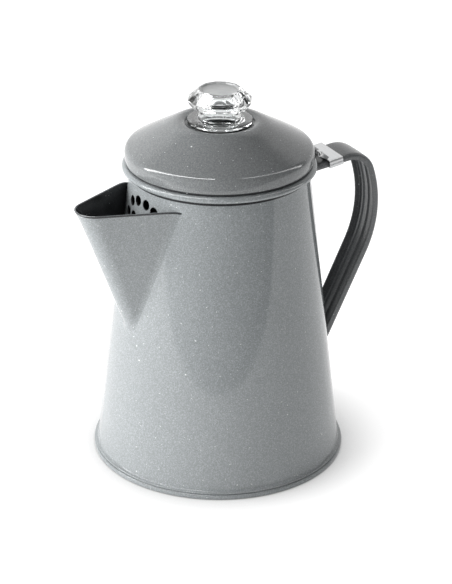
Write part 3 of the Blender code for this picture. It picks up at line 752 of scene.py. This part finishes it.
def lid_collar():
    low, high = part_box("lid_skirt")
    radius = high.x
    profile = rounded([(radius - 0.6 * MM, high.z, 0), (radius, high.z - 3 * MM, 2 * MM),
                       (radius, low.z + 2 * MM, 2 * MM), (radius - 0.8 * MM, low.z, 0.3 * MM),
                       (radius - 1.6 * MM, low.z, 0.3 * MM), (radius - 0.8 * MM, low.z + 2 * MM, 2 * MM),
                       (radius - 0.8 * MM, high.z - 3 * MM, 2 * MM), (radius - 1.4 * MM, high.z, 0)])
    # The collar wears the near-black enamel: painted shade in the gap between lid and rim, and behind the
    # strainer holes.
    return placed(turned("lid_collar", profile), "lid", "lid_skirt", "lid_enamel", painted_shade_enamel)


def knob():
    """Pressed glass: a faceted head on a round neck, flange and plug, hollow from below."""
    flange_r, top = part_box("glass_knob")[1].x / MM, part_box("glass_knob")[1].z / MM
    body = [(0, 228, 0), (14.2, 228, 0), (13.9, 225.5, 1.5), (13.0, 221.6, 3.0), (13.2, 219.7, 0.8),
            (flange_r, 219.5, 0.5), (flange_r, 218.1, 0.4), (KNOB_PLUG_R, 218.1, 0.5),
            (KNOB_PLUG_R, 211.0, 0.8), (0, 211.0, 0)]
    piece = turned("knob_glass_piece", scaled(rounded(body, 12)), 96, closed=False, sharp=30)
    head_line = scaled([(0, top - 1.0), (10.9, top - 1.0), (11.8, top - 0.1), (12.9, top),
                        (19.7, 232.0), (19.2, 230.2), (15.4, 225.6), (13.6, 224.6), (0, 224.6)])
    head = turned("tool", head_line, KNOB_FACETS, closed=False, sharp=1)
    applied(bevelled(head, 0.2 * MM, 2, 25), 1)
    combined(piece, head, "UNION", 9)
    lug_low, lug_top = 213.1, 215.3
    lugs = block((-17.3 * MM, -2.4 * MM, lug_low * MM), (17.3 * MM, 2.4 * MM, lug_top * MM))
    combined(piece, lugs, "UNION", 9)
    bore = [(0, 233.5, 0), (7.4, 233.3, 3.0), (KNOB_BORE_R, 229.0, 3.0), (KNOB_BORE_R, 205.0, 0),
            (0, 205.0, 0)]
    cut(piece, turned("tool", scaled(rounded(bore, 14)), 96, closed=False), 9)
    for face in piece.data.polygons:
        x, y, z = face.center
        face.material_index = int(z > (top - 1.3) * MM and math.hypot(x, y) < KNOB_DISH_R)
    return placed(piece, "knob", "glass_knob", "clear_glass", knob_glass, knob_dish)


# ---------------------------------------------------------------- brewing insert


def ring_of_rods(radius, rings, z, reach):
    """Upright cutters for a sieve, in rings given as (radius, how many)."""
    tools = []
    for ring, count in rings:
        for k in range(count):
            turn = math.tau * (k + 0.5) / count
            place = Vector((ring * MM * math.cos(turn), ring * MM * math.sin(turn), z))
            tools.append(rod(radius, place - Vector((0, 0, reach)), place + Vector((0, 0, reach)), 12))
    return joined(tools)


def insert():
    """The riser tube with its bell, the basket with its sleeve, and the plate over it."""
    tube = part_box("pump_tube")
    low, high = tube[0].z / MM, tube[1].z / MM
    pipe = rounded([(5.0, high, 0.3), (5.0, low + 0.8, 0.5), (8.0, low + 0.8, 0.3), (8.0, low, 0.3),
                    (4.2, low, 0.3), (4.2, high, 0.3)], 4, closed=True)
    placed(turned("riser_tube", scaled(pipe), 64), "pump", "pump_tube", "aluminium", insert_aluminium)

    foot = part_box("pump_foot")
    rim, stand = foot[1].x / MM, foot[0].z / MM
    bell = rounded([(5.3, 19, 0), (6.1, 19, 0), (8, 13.6, 3), (18, 12.0, 12), (27, 9.2, 12),
                    (rim - 2, 3.4, 3), (rim, 2.8, 0.5), (rim, stand, 0.2), (rim - 0.8, stand, 0.2),
                    (rim - 2.8, 2.7, 2), (26.5, 8.3, 12), (17.8, 11.1, 12), (7.6, 12.6, 3),
                    (5.3, 14.2, 0)], 5)
    piece = turned("foot_bell", scaled(bell), 128)
    tools = []
    for k in range(6):
        turn = math.tau * (k + 0.5) / 6
        way = Vector((math.cos(turn), math.sin(turn), 0))
        lift = Vector((0, 0, 2.6 * MM))
        tools.append(rod(2.6 * MM, way * 26 * MM + lift, way * 40 * MM + lift))
    placed(cut(piece, joined(tools)), "pump", "pump_foot", "aluminium", insert_aluminium)

    cup_low, cup_high = (v.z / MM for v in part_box("brew_basket"))
    side = 42.0
    cup = rounded([(side + 1.6, cup_high, 0.35), (side + 1.6, cup_high - 0.8, 0.35),
                   (side, cup_high - 0.8, 0.5), (side, cup_low, 3.0), (6.7, cup_low, 0),
                   (6.7, cup_low + 0.8, 0), (side - 0.8, cup_low + 0.8, 2.4), (side - 0.8, cup_high, 0.5)],
                  6, closed=True)
    piece = turned("basket_cup", scaled(cup), 128)
    rings = ((12, 10), (18, 16), (24, 22), (30, 28), (36, 34))
    cut(piece, ring_of_rods(1.1 * MM, rings, cup_low * MM, 3 * MM))
    placed(piece, "basket", "brew_basket", "aluminium", insert_aluminium)

    low, high = (v.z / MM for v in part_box("basket_sleeve"))
    sleeve = rounded([(6.4, high, 0.3), (6.4, low + 0.8, 0.4), (9.5, low + 0.8, 0.2), (9.5, low, 0.2),
                      (5.5, low, 0.2), (5.5, high, 0.3)], 4, closed=True)
    piece = turned("sleeve_tube", scaled(sleeve), 64)
    placed(piece, "basket", "basket_sleeve", "aluminium", insert_aluminium)

    low, high = (v.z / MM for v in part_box("basket_spreader"))
    dish = rounded([(44, high, 0.3), (44, high - 0.8, 0.3), (40.8, high - 0.8, 0.6), (40.2, low, 0.8),
                    (8, low, 0.8), (8, low + 6, 0.3), (8.8, low + 6, 0.3), (8.8, low + 0.8, 0.8),
                    (39.5, low + 0.8, 0.6), (40.0, high, 0.6)], 4, closed=True)
    piece = turned("spreader_dish", scaled(dish), 128)
    rings = ((13, 12), (18, 18), (23, 24), (28, 30), (33, 36), (37.2, 40))
    cut(piece, ring_of_rods(1.0 * MM, rings, low * MM, 2 * MM))
    placed(piece, "spreader", "basket_spreader", "aluminium", insert_aluminium)


def dress(node, material):
    """A small CAD node keeps its shape, with its edges broken and a finished material."""
    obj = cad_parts[node]
    obj.data.materials.clear()
    obj.data.materials.append(material)
    bevelled(obj, 0.15 * MM, 2, 40)


# ---------------------------------------------------------------- studio


def studio_floor():
    n = Nodes("studio_floor")
    n.set(Base_Color=n.mix(n.noise(3.0, 2.0), (0.35, 0.35, 0.35), (0.37, 0.37, 0.37)), Roughness=0.7)
    n.shader.inputs["Emission Color"].default_value = (1, 1, 1, 1)
    # The floor glows; ambient occlusion dims the glow close to the pot, a painted contact shadow.
    near = n.add("ShaderNodeAmbientOcclusion", samples=12)
    near.inputs["Distance"].default_value = 0.045
    n.set(Emission_Strength=n.ramp(near.outputs["AO"], 0.4, 0.98, 0.15, 0.88))
    bm = bmesh.new()
    bmesh.ops.create_grid(bm, x_segments=1, y_segments=1, size=6.0)
    floor = mesh_object("studio_floor", bm)
    floor.data.materials.append(n.material)


def studio_world():
    """Dim overhead and in front, white behind the pot, and white to the camera itself."""
    world = bpy.data.worlds.new("studio")
    bpy.context.scene.world = world
    world.use_nodes = True
    nodes, links = world.node_tree.nodes, world.node_tree.links
    back = nodes["Background"]
    behind = nodes.new("ShaderNodeVectorMath")
    behind.operation = "DOT_PRODUCT"
    links.new(nodes.new("ShaderNodeTexCoord").outputs["Generated"], behind.inputs[0])
    behind.inputs[1].default_value = (math.sin(AZIMUTH), math.cos(AZIMUTH), 0.0)
    sweep = nodes.new("ShaderNodeMapRange")
    sweep.interpolation_type = "SMOOTHSTEP"
    for key, value in (("From Min", 0.45), ("From Max", 0.68), ("To Min", 0.26), ("To Max", 1.1)):
        sweep.inputs[key].default_value = value
    links.new(behind.outputs["Value"], sweep.inputs["Value"])
    path, strength = nodes.new("ShaderNodeLightPath"), sweep.outputs["Result"]
    for ray, seen in (("Is Transmission Ray", 0.85), ("Is Camera Ray", 1.05)):
        mix = nodes.new("ShaderNodeMix")
        mix.data_type = "FLOAT"
        links.new(path.outputs[ray], mix.inputs["Factor"])
        links.new(strength, mix.inputs["A"])
        mix.inputs["B"].default_value = seen
        strength = mix.outputs["Result"]
    links.new(strength, back.inputs["Strength"])
    back.inputs["Color"].default_value = (1.0, 1.0, 1.0, 1.0)


LIGHT_REACH = 1.3  # metres from the pot to the lights


def towards(azimuth, elevation):
    """A direction by its angle to the left of the camera and its height, in degrees."""
    turn, rise = math.radians(azimuth) + AZIMUTH, math.radians(elevation)
    return Vector((-math.sin(turn) * math.cos(rise), -math.cos(turn) * math.cos(rise), math.sin(rise)))


def area_light(name, place, long_way, size, power):
    """A rectangle facing the pot, its longer side along long_way."""
    light = bpy.data.lights.new(name, "AREA")
    light.shape = "RECTANGLE"
    light.size, light.size_y = size
    light.energy = power
    obj = bpy.data.objects.new(name, light)
    bpy.context.scene.collection.objects.link(obj)
    out = (place - AIM).normalized()
    side = long_way.cross(out).normalized()
    turn = Matrix((side, out.cross(side), out)).transposed()
    obj.matrix_world = Matrix.Translation(place) @ turn.to_4x4()
    return obj


def softbox(name, way, size, power):
    """The broad light that shapes the pot. Its own reflection is left to the strips."""
    light = area_light(name, AIM + towards(*way) * LIGHT_REACH, Vector((0, 0, 1)), size, power)
    light.visible_glossy = False


def strip(name, first, last, width, power):
    """A narrow light between two directions, seen in gloss alone."""
    ends = [AIM + towards(*way) * LIGHT_REACH for way in (first, last)]
    span = ends[1] - ends[0]
    light = area_light(name, (ends[0] + ends[1]) / 2, span, (width, span.length), power)
    light.visible_diffuse = False


def table_edge():
    """Beyond the table's near edge the room is dark, which only reflections show."""
    near, far, wide = 0.33, 4.0, 4.0
    turn = Matrix.Rotation(-AZIMUTH, 4, "Z")
    bm = bmesh.new()
    bm.faces.new([bm.verts.new(turn @ Vector((x, y, 0.5 * MM)))
                  for x, y in ((-wide, -near), (wide, -near), (wide, -far), (-wide, -far))])
    n = Nodes("dark_room")
    n.set(Base_Color=n.mix(n.noise(4.0, 2.0), (0.05, 0.05, 0.05), (0.07, 0.07, 0.07)), Roughness=0.8)
    edge = mesh_object("table_edge", bm)
    edge.data.materials.append(n.material)
    edge.visible_camera = edge.visible_diffuse = edge.visible_shadow = False


def studio_camera():
    camera = bpy.data.objects.new("camera", bpy.data.cameras.new("camera"))
    bpy.context.scene.collection.objects.link(camera)
    camera.data.lens = LENS
    level = math.cos(ELEVATION)
    back = Vector((-math.sin(AZIMUTH) * level, -math.cos(AZIMUTH) * level, math.sin(ELEVATION)))
    turn = (-back).to_track_quat("-Z", "Y").to_matrix() @ Matrix.Rotation(ROLL, 3, "Z")
    camera.matrix_world = Matrix.Translation(AIM + back * DISTANCE) @ turn.to_4x4()
    bpy.context.scene.camera = camera


# ---------------------------------------------------------------- build

studio_camera()
studio_world()
studio_floor()
softbox("key_left", (74, 22), (1.4, 0.95), 33)
strip("strip_left", (18, 80), (96, 17), 0.2, 15)
strip("strip_right", (-62, 74), (-111, 12), 0.16, 4)
table_edge()
bpy.context.scene.view_settings.view_transform = "Standard"

pot_wall()
pot_foot()
spout_sheet()
handle_strap()
hinge_clip()
lid_shell()
lid_collar()
knob()
insert()
dress("hinge_pin", pin_steel)
dress("lid_hinge_leaf", leaf_steel)
dress("lid_rivet_left", pin_steel)
dress("lid_rivet_right", pin_steel)
dress("knob_gasket", seal_rubber)
dress("valve_disc", valve_steel)
dress("basket_seat", insert_aluminium)
